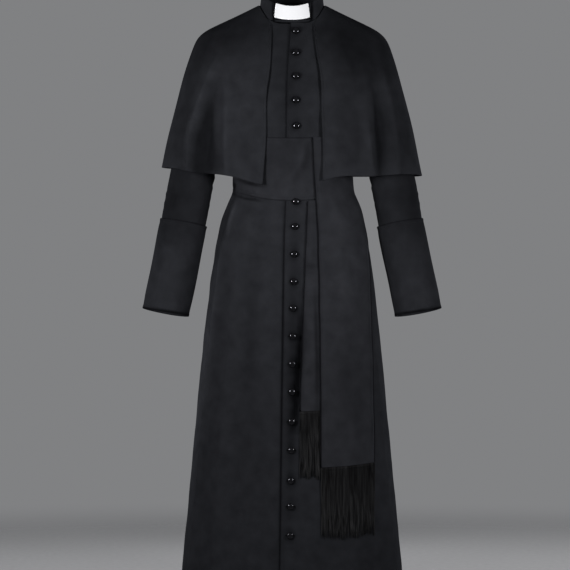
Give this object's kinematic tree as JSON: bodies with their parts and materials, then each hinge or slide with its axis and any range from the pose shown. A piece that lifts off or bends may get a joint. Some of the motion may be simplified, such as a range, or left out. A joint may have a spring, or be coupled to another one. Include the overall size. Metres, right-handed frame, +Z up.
{
  "type": "cassock",
  "caption": "Long black clerical cassock with open shoulder cape, white collar tab, buttoned front, turn-back cuffs and a fringed waist sash, in its hollow worn form.",
  "frame": {"origin": "middle of the wearer's neck, level with the points where the shoulder seams meet the collar", "axes": "+Z up along the standing body, -Y to the front of the garment, +X to the wearer's left"},
  "size_m": [0.713, 0.4431, 1.4632],
  "materials": {
    "wool": "smooth black wool-type cloth with a soft sheen",
    "sash": "smooth black sash cloth, slightly lighter than the coat",
    "fringe": "matte black twisted fringe",
    "tab": "white stiff collar tab",
    "button": "glossy black domed button"
  },
  "bodies": {
    "root": {"front_left": "wool", "front_right": "wool", "side_left": "wool", "side_right": "wool", "back_left": "wool", "back_right": "wool", "sleeve_left": "wool", "sleeve_right": "wool", "cuff_left": "wool", "cuff_right": "wool", "cape_front_left": "wool", "cape_front_right": "wool", "cape_back": "wool", "collar_band": "wool", "sash_band": "sash", "tail_outer": "sash", "tail_inner": "sash", "fringe_outer": "fringe", "fringe_inner": "fringe", "collar_tab": "tab", "button_01": "button", "button_02": "button", "button_03": "button", "button_04": "button", "button_05": "button", "button_06": "button", "button_07": "button", "button_08": "button", "button_09": "button", "button_10": "button", "button_11": "button", "button_12": "button", "button_13": "button", "button_14": "button", "button_15": "button", "button_16": "button", "button_17": "button", "button_18": "button"}
  },
  "joints": []
}
